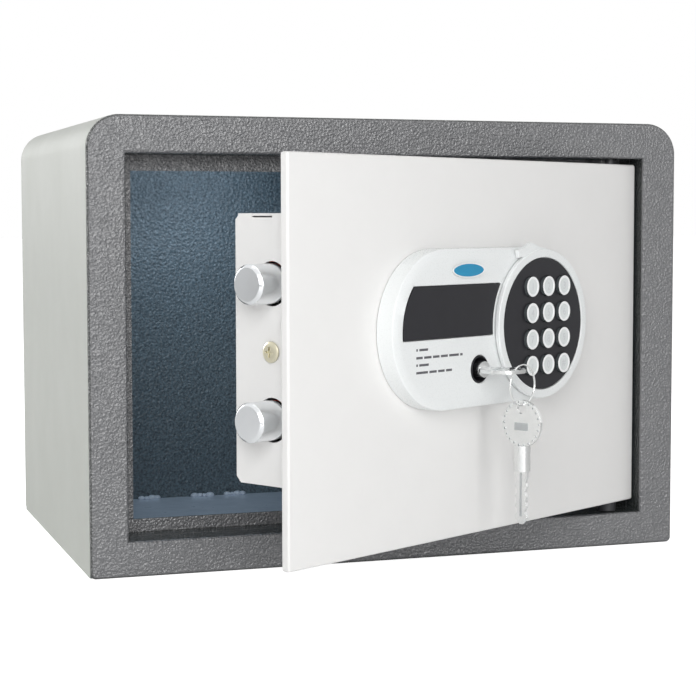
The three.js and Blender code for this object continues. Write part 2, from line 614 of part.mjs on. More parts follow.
function keypadKeys() {
  const { cap, back, front, shoulder, edgeIn, crown, sides } = KEYPAD;
  const profile = [
    [0, -back], [cap, -back], [cap, -front + shoulder], [cap - edgeIn, -front + crown], [0, -front],
  ];
  KEY_NAMES.forEach((name, i) => {
    const [x, z] = keyPlace(Math.floor(i / 3), i % 3);
    piece(door, `key_${name}`, turned(profile.slice().reverse(), sides).translate(x, DOOR_FACE, z), paint.cap);
  });
}

function panelInsert() {
  const pane = slabXZ(windowOutline(), atOff(WINDOW.front), atOff(WINDOW.back), 0, 10);
  piece(door, 'display_window', pane, paint.black);
  const board = circle(atU(PANEL.rightCentre), PANEL.centreZ, PAD_BOARD.radius);
  piece(door, 'keypad_board', slabXZ(board, atOff(PAD_BOARD.front), atOff(PAD_BOARD.back), 0, 10), paint.board);
  const x = atU(BADGE.u);
  const [w, h] = [BADGE.width / 2, BADGE.height / 2];
  const badge = rectangle(x - w, BADGE.z - h, x + w, BADGE.z + h, BADGE.corner);
  piece(door, 'badge', slabXZ(badge, atOff(BADGE.front), atOff(BADGE.back), 0, 4), paint.badge);
}

function keyholeCup() {
  const { cupOuter, cupInner, cupBack, cupFront, plugRadius } = LOCK;
  const profile = [
    [plugRadius + GAP, -cupBack], [cupOuter, -cupBack], [cupOuter, -cupFront], [cupInner, -cupFront],
    [cupInner, -cupBack - 1], [plugRadius + GAP, -cupBack - 1], [plugRadius + GAP, -cupBack],
  ];
  const geometry = turned(profile.reverse());
  piece(door, 'keyhole_cup', geometry.translate(atU(LOCK.u), DOOR_FACE, LOCK.z), paint.black);
}

// ---------------------------------------------------------------- override lock and keys
function lockHousing() {
  const { plugRadius, bodyRadius, nutRadius, bodyBack, cupBack } = LOCK;
  const front = -cupBack + GAP;
  const nut = DOOR.thickness + GAP;
  const profile = [
    [plugRadius + GAP, front], [bodyRadius, front], [bodyRadius, nut], [nutRadius, nut],
    [nutRadius, nut + LOCK.nutHeight], [bodyRadius, nut + LOCK.nutHeight], [bodyRadius, bodyBack],
    [plugRadius + GAP, bodyBack], [plugRadius + GAP, front],
  ];
  piece(door, 'lock_housing', turned(profile).translate(atU(LOCK.u), DOOR_FACE, LOCK.z), paint.steel);
}

function lockPlug() {
  const { u, z, plugRadius, plugFront, plugBack, slotWidth, slotHeight } = LOCK;
  const x = atU(u);
  const outline = circle(x, z, plugRadius);
  outline.holes.push(rectangle(x - slotWidth / 2, z - slotHeight / 2, x + slotWidth / 2, z + slotHeight / 2));
  piece(door, 'lock_plug', slabXZ(outline, atOff(plugFront), atT(plugBack)), paint.nickel);
}

function lockCam() {
  const { front, back, hub, length, tipRadius } = CAM;
  const x = atU(LOCK.u);
  const outline = new THREE.Shape();
  outline.absarc(x, LOCK.z, hub, Math.PI, 2 * Math.PI);
  outline.absarc(x, LOCK.z + length, tipRadius, 0, Math.PI);
  piece(door, 'lock_cam', slabXZ(outline, atT(front), atT(back)), paint.zinc);
}

/** The flat of a double-sided key blade, along -Y from the collar, with cuts in both edges. */
function bladeOutline() {
  const { bladeLength, bladeWidth, cuts } = KEY;
  const half = bladeWidth / 2;
  const step = (bladeLength - CUTS.uncut) / cuts;
  const edge = [];
  for (let i = 0; i < cuts; i += 1) {
    const start = CUTS.start + i * step;
    const floor = half - CUTS.shallow - CUTS.deeper * (i % 2);
    edge.push(
      [half, start], [floor, start + CUTS.down * step], [floor, start + CUTS.up * step],
      [half, start + CUTS.end * step]);
  }
  const outline = new THREE.Shape();
  outline.moveTo(half, 0);
  edge.forEach(([w, l]) => outline.lineTo(w, -l));
  outline.lineTo(half, -bladeLength + CUTS.tip);
  outline.lineTo(CUTS.tipHalf, -bladeLength);
  outline.lineTo(-CUTS.tipHalf, -bladeLength);
  outline.lineTo(-half, -bladeLength + CUTS.tip);
  edge.reverse().forEach(([w, l]) => outline.lineTo(-w, -l));
  outline.lineTo(-half, 0);
  return outline;
}

/** A key lying flat in X and Y: the collar's bow end is at the origin, the bow towards +Y, the blade -Y. */
function keyGeometry() {
  const { bowRadius, bowCentre, bowThickness, holeRadius, holeOffset, collarRadius, collarLength } = KEY;
  const bow = circle(0, bowCentre, bowRadius);
  bow.holes.push(circle(0, bowCentre + holeOffset, holeRadius));
  const disc = new THREE.ExtrudeGeometry(bow, { depth: bowThickness, bevelEnabled: false, curveSegments: 14 });
  const collar = rod('y', collarRadius, -collarLength, 0, 0, 0, 24);
  const blade = new THREE.ExtrudeGeometry(bladeOutline(), { depth: KEY.bladeThickness, bevelEnabled: false });
  return join(
    disc.translate(0, 0, -bowThickness / 2), collar,
    blade.translate(0, 1 - collarLength, -KEY.bladeThickness / 2));
}

/** How far the bow's hole is from the collar's end. */
function keyHoleReach() {
  return KEY.bowCentre + KEY.holeOffset;
}

function serviceKey() {
  const geometry = keyGeometry().rotateZ(Math.PI);
  piece(door, 'service_key', geometry.translate(atU(LOCK.u), atOff(KEY.collarFront), LOCK.z), paint.nickel);
}

/** Where the bow's hole of the key in the lock is. */
function loopHole() {
  return new THREE.Vector3(atU(LOCK.u), atOff(KEY.collarFront + keyHoleReach()), LOCK.z);
}

function keyRing() {
  const hole = loopHole();
  const torus = new THREE.TorusGeometry(LOOP.radius, LOOP.wire, 8, 40).rotateX(Math.PI / 2);
  piece(door, 'key_ring', torus.translate(hole.x + LOOP.sideways, hole.y, hole.z - LOOP.drop), paint.nickel);
}

function spareKey() {
  const hole = loopHole();
  const wireZ = hole.z - LOOP.drop - LOOP.radius;
  const slack = KEY.holeRadius - LOOP.wire - GAP;
  const geometry = keyGeometry().rotateX(Math.PI / 2).rotateZ(Math.PI / 2);
  piece(door, 'spare_key',
    geometry.translate(hole.x + LOOP.sideways, hole.y, wireZ - slack - keyHoleReach()), paint.nickel);
}

// ---------------------------------------------------------------- assembly
frontFrame();
stopFrame();
bodyShell();
floorPanel();
backPanel();
hingeBlock('hinge_block_upper', FRAME.top + FRAME.wall + GAP);
hingeBlock('hinge_block_lower', FRAME.bottom - FRAME.wall - GAP - HINGE.blockHeight);
doorPlate();
hingeLug('upper', 1);
hingeLug('lower', -1);
hingeSpacer();
boltPlate();
lockCover();
bolt('bolt_upper', BOLT.upper);
bolt('bolt_lower', BOLT.lower);
boltCarrier();
driveGear();
gearMotor();
boltGuide();
sideScrew();
circuitBoard();
batteryTray();
for (let index = 1; index <= BATTERY.count; index += 1) cell(index);
batteryCover();
resetButton();
lead('lead_red', 0, paint.red);
lead('lead_black', 1, paint.dark);
lead('lead_yellow', 2, paint.yellow);
panelHousing();
panelFace();
ringBezel();
keypadDisc();
keypadKeys();
panelInsert();
keyholeCup();
lockHousing();
lockPlug();
lockCam();
serviceKey();
keyRing();
spareKey();

export default safe;
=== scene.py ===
"""Looks for the small steel safe: painted case, keypad door, motor bolts, override lock and keys."""

import json
import logging
import math
from dataclasses import dataclass
from enum import Enum
from typing import Callable, Iterable, Sequence

import bpy
from mathutils import Matrix, Vector


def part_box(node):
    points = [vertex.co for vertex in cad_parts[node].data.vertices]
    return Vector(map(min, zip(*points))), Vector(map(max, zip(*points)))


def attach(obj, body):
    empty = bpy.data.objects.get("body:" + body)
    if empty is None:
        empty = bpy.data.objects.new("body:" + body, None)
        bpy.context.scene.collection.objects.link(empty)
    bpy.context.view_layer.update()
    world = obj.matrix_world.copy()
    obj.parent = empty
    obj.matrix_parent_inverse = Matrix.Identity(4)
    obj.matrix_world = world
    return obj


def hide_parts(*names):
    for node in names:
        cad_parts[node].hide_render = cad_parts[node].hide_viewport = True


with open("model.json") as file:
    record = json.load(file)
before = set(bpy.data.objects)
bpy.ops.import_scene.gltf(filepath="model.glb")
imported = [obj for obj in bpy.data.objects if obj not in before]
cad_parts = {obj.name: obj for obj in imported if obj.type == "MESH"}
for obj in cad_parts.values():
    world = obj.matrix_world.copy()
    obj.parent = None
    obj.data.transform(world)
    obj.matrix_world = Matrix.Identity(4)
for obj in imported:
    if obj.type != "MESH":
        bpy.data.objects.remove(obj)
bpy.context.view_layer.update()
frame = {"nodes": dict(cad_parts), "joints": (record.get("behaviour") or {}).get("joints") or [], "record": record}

log = logging.getLogger("safe")
Colour = tuple[float, float, float]
MM = 0.001
# How far a cutting tool reaches past the face that it starts from.
OVERSHOOT = 0.001
# Vertices nearer than this are one, and faces meeting at less than this angle are one flat face.
MERGE_REACH = 0.000002
FLAT_ANGLE = math.radians(0.6)


# ---------------------------------------------------------------- finishes
class Relief(Enum):
    """The ways in which a surface is uneven."""

    LEATHER = "leather_relief"
    PEEL = "peel_relief"
    BRUSHED = "brushed_relief"


@dataclass(frozen=True)
class Finish:
    """One procedural finish.

    Attributes:
        colour: main colour, linear.
        low: colour of the tone's darker patches, linear.
        roughness: roughness of the bare surface.
        metallic: 1 for bare metal.
        relief: kind of unevenness.
        scale: how fine the relief is, in cells a metre.
        depth: how deep the relief is, in metres.
        tone: how fine the tone patches are, in cells a metre.
        wear: colour of rubbed edges, or None.
        coat: weight of a clear coat.
        strength: how strongly the relief tilts the surface.
        specular: level of plain reflection.
    """

    colour: Colour
    low: Colour
    roughness: float
    metallic: float = 0.0
    relief: Relief = Relief.PEEL
    scale: float = 900.0
    depth: float = 0.00004
    tone: float = 60.0
    wear: Colour | None = None
    coat: float = 0.0
    strength: float = 0.6
    specular: float = 0.5


def add_node(tree: bpy.types.NodeTree, kind: str, **values: object) -> bpy.types.Node:
    """Adds a shader node.

    Args:
        tree: the tree to add to.
        kind: the node's type name.
        values: attributes, or input sockets by name, to set.

    Returns:
        The new node.
    """
    made = tree.nodes.new(kind)
    for name, value in values.items():
        if hasattr(made, name):
            setattr(made, name, value)
        else:
            made.inputs[name.replace("_", " ")].default_value = value
    return made


def new_group(
    name: str, inputs: Sequence[tuple[str, float]], output: str
) -> tuple[bpy.types.NodeTree, bpy.types.Node, bpy.types.Node]:
    """Starts a shader node group with number inputs and one number output.

    Args:
        name: the group's name.
        inputs: names and default values.
        output: the output's name.

    Returns:
        The tree, its input node and its output node.
    """
    tree = bpy.data.node_groups.new(name, "ShaderNodeTree")
    for label, value in inputs:
        socket = tree.interface.new_socket(label, in_out="INPUT", socket_type="NodeSocketFloat")
        socket.default_value = value
    tree.interface.new_socket(output, in_out="OUTPUT", socket_type="NodeSocketFloat")
    return tree, tree.nodes.new("NodeGroupInput"), tree.nodes.new("NodeGroupOutput")


class Effects:
    """The node groups that the finishes share."""

    def __init__(self) -> None:
        """Builds every group once."""
        self.relief: dict[Relief, bpy.types.NodeTree] = {
            Relief.LEATHER: self._leather(),
            Relief.PEEL: self._peel(),
            Relief.BRUSHED: self._brushed(),
        }
        self.tone = self._tone()
        self.edges = self._edges()

    @staticmethod
    def _leather() -> bpy.types.NodeTree:
        """Pebbled paint: rounded cells warped by noise, with a finer grain over them."""
        tree, start, end = new_group(Relief.LEATHER.value, [("Scale", 700.0)], "Height")
        link = tree.links.new
        place = add_node(tree, "ShaderNodeTexCoord")
        warp_scale, warp_reach = 420.0, 0.0012
        softness = 0.6
        grain_fineness, grain_share = 1.6, 0.55
        warp = add_node(tree, "ShaderNodeTexNoise", Scale=warp_scale, Detail=2.0)
        shift = add_node(tree, "ShaderNodeVectorMath", operation="SCALE")
        shift.inputs["Scale"].default_value = warp_reach
        moved = add_node(tree, "ShaderNodeVectorMath", operation="ADD")
        cells = add_node(tree, "ShaderNodeTexVoronoi", feature="SMOOTH_F1")
        cells.inputs["Smoothness"].default_value = softness
        fine = add_node(tree, "ShaderNodeTexNoise", Detail=3.0)
        finer = add_node(tree, "ShaderNodeMath", operation="MULTIPLY")
        finer.inputs[1].default_value = grain_fineness
        mix = add_node(tree, "ShaderNodeMath", operation="MULTIPLY_ADD")
        mix.inputs[1].default_value = grain_share
        link(place.outputs["Object"], warp.inputs["Vector"])
        link(warp.outputs["Color"], shift.inputs[0])
        link(place.outputs["Object"], moved.inputs[0])
        link(shift.outputs[0], moved.inputs[1])
        link(moved.outputs[0], cells.inputs["Vector"])
        link(start.outputs["Scale"], cells.inputs["Scale"])
        link(start.outputs["Scale"], finer.inputs[0])
        link(place.outputs["Object"], fine.inputs["Vector"])
        link(finer.outputs[0], fine.inputs["Scale"])
        link(fine.outputs[0], mix.inputs[0])
        link(cells.outputs["Distance"], mix.inputs[2])
        link(mix.outputs[0], end.inputs[0])
        return tree

    @staticmethod
    def _peel() -> bpy.types.NodeTree:
        """The low rolling texture of powder coat and moulded plastic."""
        tree, start, end = new_group(Relief.PEEL.value, [("Scale", 900.0)], "Height")
        place = add_node(tree, "ShaderNodeTexCoord")
        noise = add_node(tree, "ShaderNodeTexNoise", Detail=3.0, Roughness=0.55)
        tree.links.new(place.outputs["Object"], noise.inputs["Vector"])
        tree.links.new(start.outputs["Scale"], noise.inputs["Scale"])
        tree.links.new(noise.outputs[0], end.inputs[0])
        return tree

    @staticmethod
    def _brushed() -> bpy.types.NodeTree:
        """Fine turned or drawn lines along Z."""
        tree, start, end = new_group(Relief.BRUSHED.value, [("Scale", 900.0)], "Height")
        place = add_node(tree, "ShaderNodeTexCoord")
        stretch = add_node(tree, "ShaderNodeMapping")
        drawn_out = 0.06
        stretch.inputs["Scale"].default_value = (1.0, 1.0, drawn_out)
        noise = add_node(tree, "ShaderNodeTexNoise", Detail=4.0)
        tree.links.new(place.outputs["Object"], stretch.inputs["Vector"])
        tree.links.new(stretch.outputs[0], noise.inputs["Vector"])
        tree.links.new(start.outputs["Scale"], noise.inputs["Scale"])
        tree.links.new(noise.outputs[0], end.inputs[0])
        return tree

    @staticmethod
    def _tone() -> bpy.types.NodeTree:
        """Soft patches of lighter and darker colour."""
        tree, start, end = new_group("tone_patches", [("Scale", 60.0)], "Mask")
        place = add_node(tree, "ShaderNodeTexCoord")
        noise = add_node(tree, "ShaderNodeTexNoise", Detail=5.0, Roughness=0.6)
        spread = add_node(tree, "ShaderNodeMapRange")
        spread.inputs["From Min"].default_value = 0.3
        spread.inputs["From Max"].default_value = 0.7
        tree.links.new(place.outputs["Object"], noise.inputs["Vector"])
        tree.links.new(start.outputs["Scale"], noise.inputs["Scale"])
        tree.links.new(noise.outputs[0], spread.inputs["Value"])
        tree.links.new(spread.outputs[0], end.inputs[0])
        return tree

    @staticmethod
    def _edges() -> bpy.types.NodeTree:
        """A mask of rubbed corners, broken up by noise."""
        tree, start, end = new_group("edge_wear", [("Amount", 0.5)], "Mask")
        link = tree.links.new
        place = add_node(tree, "ShaderNodeTexCoord")
        true = add_node(tree, "ShaderNodeNewGeometry")
        reach = 0.0008
        unworn, worn = 0.97, 0.8
        soft = add_node(tree, "ShaderNodeBevel", samples=4)
        soft.inputs["Radius"].default_value = reach
        dot = add_node(tree, "ShaderNodeVectorMath", operation="DOT_PRODUCT")
        spread = add_node(tree, "ShaderNodeMapRange")
        spread.inputs["From Min"].default_value = unworn
        spread.inputs["From Max"].default_value = worn
        noise = add_node(tree, "ShaderNodeTexNoise", Scale=160.0, Detail=4.0)
        broken = add_node(tree, "ShaderNodeMath", operation="MULTIPLY")
        scaled = add_node(tree, "ShaderNodeMath", operation="MULTIPLY", use_clamp=True)
        link(soft.outputs[0], dot.inputs[0])
        link(true.outputs["Normal"], dot.inputs[1])
        link(dot.outputs["Value"], spread.inputs["Value"])
        link(place.outputs["Object"], noise.inputs["Vector"])
        link(noise.outputs[0], broken.inputs[0])
        link(spread.outputs[0], broken.inputs[1])
        link(broken.outputs[0], scaled.inputs[0])
        link(start.outputs["Amount"], scaled.inputs[1])
        link(scaled.outputs[0], end.inputs[0])
        return tree


class Paintshop:
    """Makes each finish's material once and hands it out."""

    # The share of a finish's roughness in its darker and its lighter patches.
    DULLER, GLOSSIER = 1.15, 0.9

    def __init__(self) -> None:
        """Builds the shared effects."""
        self.effects = Effects()
        self.made: dict[str, bpy.types.Material] = {}

    def material(self, name: str, finish: Finish) -> bpy.types.Material:
        """The material of a finish.

        Args:
            name: the material's name.
            finish: what it looks like.

        Returns:
            The material, built at the first request.
        """
        if name in self.made:
            return self.made[name]
        stuff = bpy.data.materials.new(name)
        stuff.use_nodes = True
        tree = stuff.node_tree
        link = tree.links.new
        shader = tree.nodes["Principled BSDF"]
        shader.inputs["Metallic"].default_value = finish.metallic
        shader.inputs["Coat Weight"].default_value = finish.coat
        shader.inputs["Specular IOR Level"].default_value = finish.specular
        tone = add_node(tree, "ShaderNodeGroup", node_tree=self.effects.tone)
        tone.inputs["Scale"].default_value = finish.tone
        relief = add_node(tree, "ShaderNodeGroup", node_tree=self.effects.relief[finish.relief])
        relief.inputs["Scale"].default_value = finish.scale
        blend = add_node(tree, "ShaderNodeMix", data_type="RGBA")
        blend.inputs["A"].default_value = (*finish.low, 1.0)
        blend.inputs["B"].default_value = (*finish.colour, 1.0)
        link(tone.outputs["Mask"], blend.inputs["Factor"])
        colour = blend.outputs["Result"]
        if finish.wear is not None:
            edges = add_node(tree, "ShaderNodeGroup", node_tree=self.effects.edges)
            rubbed = add_node(tree, "ShaderNodeMix", data_type="RGBA")
            rubbed.inputs["B"].default_value = (*finish.wear, 1.0)
            link(edges.outputs["Mask"], rubbed.inputs["Factor"])
            link(colour, rubbed.inputs["A"])
            colour = rubbed.outputs["Result"]
        link(colour, shader.inputs["Base Color"])
        gloss = add_node(tree, "ShaderNodeMapRange")
        gloss.inputs["To Min"].default_value = finish.roughness * self.DULLER
        gloss.inputs["To Max"].default_value = finish.roughness * self.GLOSSIER
        link(tone.outputs["Mask"], gloss.inputs["Value"])
        link(gloss.outputs[0], shader.inputs["Roughness"])
        bump = add_node(tree, "ShaderNodeBump")
        bump.inputs["Strength"].default_value = finish.strength
        bump.inputs["Distance"].default_value = finish.depth
        link(relief.outputs["Height"], bump.inputs["Height"])
        link(bump.outputs[0], shader.inputs["Normal"])
        self.made[name] = stuff
        return stuff


WHITE = Finish(
    (0.80, 0.795, 0.785), (0.79, 0.785, 0.775), 0.42, scale=1400.0, depth=0.00003, wear=(0.86, 0.86, 0.85))
FINISHES: dict[str, Finish] = {
    "frame_paint": Finish(
        (0.150, 0.151, 0.157), (0.125, 0.127, 0.133), 0.22, relief=Relief.LEATHER, scale=720.0, depth=0.0006,
        tone=120.0, wear=(0.30, 0.305, 0.31), strength=1.0, specular=0.9),
    "body_paint": Finish(
        (0.53, 0.55, 0.51), (0.52, 0.54, 0.50), 0.45, scale=500.0, depth=0.00008, tone=18.0,
        wear=(0.3, 0.31, 0.3)),
    "inside_paint": Finish(
        (0.15, 0.205, 0.24), (0.035, 0.05, 0.06), 0.38, relief=Relief.LEATHER, scale=520.0, depth=0.0006,
        tone=700.0, strength=0.8),
    "door_paint": WHITE,
    "chrome": Finish(
        (0.86, 0.88, 0.895), (0.82, 0.84, 0.86), 0.20, 1.0, Relief.BRUSHED, 700.0, 0.00001, strength=0.2),
    "zinc": Finish((0.72, 0.68, 0.52), (0.60, 0.57, 0.45), 0.34, 1.0, scale=1200.0, depth=0.00003),
    "steel": Finish((0.50, 0.51, 0.52), (0.40, 0.41, 0.42), 0.36, 1.0, Relief.BRUSHED, 900.0, 0.00002),
    "panel_silver": Finish((0.80, 0.82, 0.82), (0.78, 0.80, 0.80), 0.28, scale=2400.0, depth=0.00001, tone=1600.0),
    "black_plastic": Finish(
        (0.019, 0.019, 0.023), (0.016, 0.016, 0.019), 0.34, scale=2600.0, depth=0.00001, specular=0.3),
    "badge_blue": Finish((0.004, 0.26, 0.47), (0.004, 0.24, 0.44), 0.25, scale=1500.0, depth=0.00001, coat=0.5),
    "cap_grey": Finish((0.70, 0.73, 0.73), (0.66, 0.69, 0.69), 0.32, scale=2400.0, depth=0.00001),
    "nickel": Finish((0.86, 0.87, 0.86), (0.78, 0.79, 0.79), 0.20, 1.0, scale=1600.0, depth=0.00002),
    "board_green": Finish((0.02, 0.14, 0.06), (0.015, 0.10, 0.045), 0.35, scale=900.0, depth=0.00002),
    "cell_blue": Finish((0.03, 0.06, 0.22), (0.02, 0.04, 0.16), 0.30, scale=900.0, depth=0.00001, coat=0.3),
    "dark_plastic": Finish((0.03, 0.03, 0.032), (0.022, 0.022, 0.024), 0.5, scale=1600.0, depth=0.00003),
    "red_plastic": Finish((0.45, 0.02, 0.015), (0.38, 0.015, 0.012), 0.35, scale=1600.0, depth=0.00002),
    "lead_red": Finish((0.62, 0.06, 0.04), (0.5, 0.04, 0.03), 0.38, scale=1600.0, depth=0.00002),
    "lead_black": Finish((0.02, 0.02, 0.02), (0.012, 0.012, 0.012), 0.4, scale=1600.0, depth=0.00002),
    "lead_yellow": Finish((0.75, 0.36, 0.03), (0.62, 0.28, 0.02), 0.38, scale=1600.0, depth=0.00002),
}
RIM_WHITE = Finish((0.88, 0.89, 0.89), (0.84, 0.85, 0.85), 0.28, scale=2400.0, depth=0.00001)
# Painted shade: near-black for the hinge pins and spacer, so that they sink into the shade at the hinge.
HINGE_PAINTED_SHADE = Finish((0.035, 0.036, 0.04), (0.025, 0.026, 0.03), 0.45, scale=900.0, depth=0.00002)
# Painted shade: a darker copy of the frame paint for the jamb and the frames' outer rim, in place of the shade
# there; its rubbed edges are real wear.
JAMB_RIM_SHADE = Finish(
    (0.046, 0.052, 0.051), (0.026, 0.030, 0.030), 0.19, relief=Relief.LEATHER, scale=720.0, depth=0.0014, tone=300.0,
    wear=(0.24, 0.25, 0.245), strength=1.0, specular=1.0)
# Painted light: the weld beads are as pale as the lightened floor.
BEAD_PAINTED_LIGHT = Finish((0.62, 0.70, 0.80), (0.5, 0.58, 0.68), 0.3, scale=1500.0, depth=0.00006)
CAP_SIDE = Finish((0.09, 0.10, 0.105), (0.06, 0.07, 0.072), 0.25, scale=2400.0, depth=0.00001)
# Painted light: the floor is a much lighter blue-grey than the liner, to stand in for light falling on it inside the
# case.
FLOOR_PAINTED_LIGHT = Finish(
    (0.60, 0.69, 0.80), (0.50, 0.58, 0.68), 0.30, scale=700.0, depth=0.00006, tone=90.0, wear=(0.45, 0.48, 0.52),
    coat=0.3)
PRINT_GREY = Finish((0.12, 0.12, 0.13), (0.09, 0.09, 0.10), 0.5, scale=2400.0, depth=0.00001)
STAMPED = Finish((0.56, 0.58, 0.59), (0.50, 0.52, 0.53), 0.32, 1.0, scale=1600.0, depth=0.00002)
DIGIT_GREY = Finish((0.62, 0.64, 0.65), (0.57, 0.59, 0.60), 0.45, scale=2400.0, depth=0.00001)


# ---------------------------------------------------------------- modelling
def deselect() -> None:
    """Leaves nothing selected."""
    bpy.ops.object.select_all(action="DESELECT")


def pick(piece: bpy.types.Object) -> None:
    """Makes one object the selected and active one."""
    deselect()
    piece.select_set(True)
    bpy.context.view_layer.objects.active = piece


def settle(piece: bpy.types.Object) -> None:
    """Puts an object's place, turn and size into its mesh."""
    pick(piece)
    bpy.ops.object.transform_apply(location=True, rotation=True, scale=True)


def edit(piece: bpy.types.Object, choose: Callable[[bpy.types.MeshPolygon], bool]) -> None:
    """Enters edit mode with the chosen faces selected.

    Args:
        piece: the object to edit.
        choose: says of a face whether it is wanted.
    """
    pick(piece)
    bpy.ops.object.mode_set(mode="EDIT")
    bpy.ops.mesh.select_mode(type="FACE")
    bpy.ops.mesh.select_all(action="DESELECT")
    bpy.ops.object.mode_set(mode="OBJECT")
    for face in piece.data.polygons:
        face.select = choose(face)
    bpy.ops.object.mode_set(mode="EDIT")


def faces_front(face: bpy.types.MeshPolygon) -> bool:
    """Says whether a face looks to the front."""
    return face.normal.y < -0.5


def front_area(face: bpy.types.MeshPolygon) -> float:
    """The area of a face that looks to the front, or 0 for any other."""
    return face.area if faces_front(face) else 0


def done() -> None:
    """Leaves edit mode."""
    bpy.ops.object.mode_set(mode="OBJECT")


def apply_modifier(piece: bpy.types.Object, kind: str, **values: object) -> None:
    """Adds a modifier with these values and applies it."""
    pick(piece)
    made = piece.modifiers.new(kind.lower(), kind)
    for name, value in values.items():
        setattr(made, name, value)
    bpy.ops.object.modifier_apply(modifier=made.name)


def smooth(piece: bpy.types.Object, angle: float = 35.0) -> None:
    """Shades a piece smooth wherever its faces meet at less than an angle in degrees."""
    pick(piece)
    bpy.ops.object.shade_smooth_by_angle(angle=math.radians(angle))


def round_edges(piece: bpy.types.Object, width: float, segments: int = 2, angle: float = 40.0) -> None:
    """Rounds the sharp edges of a piece and shades it smooth, with its flat faces kept flat.

    Args:
        piece: the piece.
        width: how wide the rounding is, in metres.
        segments: how many faces go round it.
        angle: the angle in degrees past which an edge is sharp.
    """
    apply_modifier(
        piece, "BEVEL", width=width, segments=segments, limit_method="ANGLE", angle_limit=math.radians(angle),
        use_clamp_overlap=True, harden_normals=False)
    smooth(piece)
    apply_modifier(piece, "WEIGHTED_NORMAL", keep_sharp=True)


def cut(piece: bpy.types.Object, *tools: bpy.types.Object) -> None:
    """Cuts other solids out of a piece and throws them away."""
    for tool in tools:
        apply_modifier(piece, "BOOLEAN", operation="DIFFERENCE", object=tool, solver="EXACT")
        bpy.data.objects.remove(tool)


def cylinder(radius: float, low: float, high: float, place: Vector, sides: int = 64) -> bpy.types.Object:
    """A cylinder along Y.

    Args:
        radius: in metres.
        low: its front station in Y.
        high: its back station in Y.
        place: a point on its axis.
        sides: how many sides it has.

    Returns:
        The new object.
    """
    deselect()
    bpy.ops.mesh.primitive_cylinder_add(
        vertices=sides, radius=radius, depth=high - low, location=(place.x, (low + high) / 2, place.z),
        rotation=(math.pi / 2, 0, 0))
    made = bpy.context.active_object
    settle(made)
    return made


def box(low: Sequence[float], high: Sequence[float]) -> bpy.types.Object:
    """A box between two corners."""
    deselect()
    middle = [(a + b) / 2 for a, b in zip(low, high)]
    bpy.ops.mesh.primitive_cube_add(size=1, location=middle)
    made = bpy.context.active_object
    made.scale = [b - a for a, b in zip(low, high)]
    settle(made)
    return made


def join(name: str, parts: Iterable[bpy.types.Object]) -> bpy.types.Object:
    """Joins several objects into one with a name."""
    group = list(parts)
    deselect()
    for part in group:
        part.select_set(True)
    bpy.context.view_layer.objects.active = group[0]
    if len(group) > 1:
        bpy.ops.object.join()
    made = bpy.context.active_object
    made.name = name
    return made


def twin(piece: bpy.types.Object, name: str, move: Matrix) -> bpy.types.Object:
    """A copy with its own mesh, moved by a matrix."""
    made = bpy.data.objects.new(name, piece.data.copy())
    bpy.context.scene.collection.objects.link(made)
    made.data.transform(move)
    return made


class Shop:
    """Knows the frame's nodes, bodies and slots, and finishes pieces to match them."""

    def __init__(self) -> None:
        """Reads the record's tables."""
        record = frame["record"]
        self.paint = Paintshop()
        self.slots: dict[str, str] = {s["node"]: s["material_slot"] for s in record["subparts"]}
        self.bodies: dict[str, str] = {
            node: body for body, nodes in record["behaviour"]["bodies"].items() for node in nodes}
        hinge = next(j for j in frame["joints"] if j["name"] == "door_hinge")
        pivot = Matrix.Translation(Vector(hinge["pos_m"]))
        self.open = pivot @ Matrix.Rotation(-math.radians(hinge["range_deg"][0]), 4, "Z") @ pivot.inverted()
        self.shut = self.open.inverted()
        self.standing: set[str] = set()

    def closed_box(self, node: str) -> tuple[Vector, Vector]:
        """The lowest and highest corners of a door node with the door shut."""
        points = [self.shut @ v.co for v in frame["nodes"][node].data.vertices]
        low = Vector([min(p[i] for p in points) for i in range(3)])
        high = Vector([max(p[i] for p in points) for i in range(3)])
        return low, high

    def copy(self, node: str, name: str) -> bpy.types.Object:
        """A merged copy of a CAD node, with flat areas made into whole faces."""
        made = bpy.data.objects.new(name, frame["nodes"][node].data.copy())
        bpy.context.scene.collection.objects.link(made)
        made.data.materials.clear()
        pick(made)
        bpy.ops.object.mode_set(mode="EDIT")
        bpy.ops.mesh.select_all(action="SELECT")
        bpy.ops.mesh.remove_doubles(threshold=MERGE_REACH)
        bpy.ops.mesh.dissolve_limited(angle_limit=FLAT_ANGLE)
        done()
        return made

    def swing(self, piece: bpy.types.Object) -> None:
        """Turns a piece modelled with the door shut to where the door stands."""
        piece.data.transform(self.open)

    def finish(
        self, piece: bpy.types.Object, nodes: Sequence[str], look: Finish | None = None, look_name: str = ""
    ) -> None:
        """Paints a piece, puts it on its body and lets it stand for its nodes.

        Args:
            piece: the piece, in place.
            nodes: the CAD nodes it stands for; the first one gives its body and slot.
            look: a finish of its own, or None for its slot's.
            look_name: the name of that finish.
        """
        self.add(piece, nodes[0], look, look_name)
        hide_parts(*nodes)
        self.standing.update(nodes)

    def add(self, piece: bpy.types.Object, node: str, look: Finish | None = None, look_name: str = "") -> None:
        """Paints a piece that goes with a node without standing for it."""
        slot = self.slots[node]
        if not piece.data.materials:
            piece.data.materials.append(self.paint.material(look_name or slot, look or FINISHES[slot]))
        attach(piece, self.bodies[node])
        log.info("%s: %d faces", piece.name, len(piece.data.polygons))

    def carry(
        self, node: str, width: float, segments: int = 2, look: Finish | None = None, look_name: str = ""
    ) -> bpy.types.Object:
        """Finishes a node in its CAD shape, with its sharp edges rounded.

        Args:
            node: the CAD node.
            width: the rounding's width in metres, or 0 for none.
            segments: how many faces go round an edge.
            look: a finish of its own, or None for its slot's.
            look_name: the name of that finish.

        Returns:
            The new piece.
        """
        made = self.copy(node, f"{node}_made")
        if width:
            round_edges(made, width, segments)
        else:
            smooth(made)
        self.finish(made, [node], look, look_name)
        return made


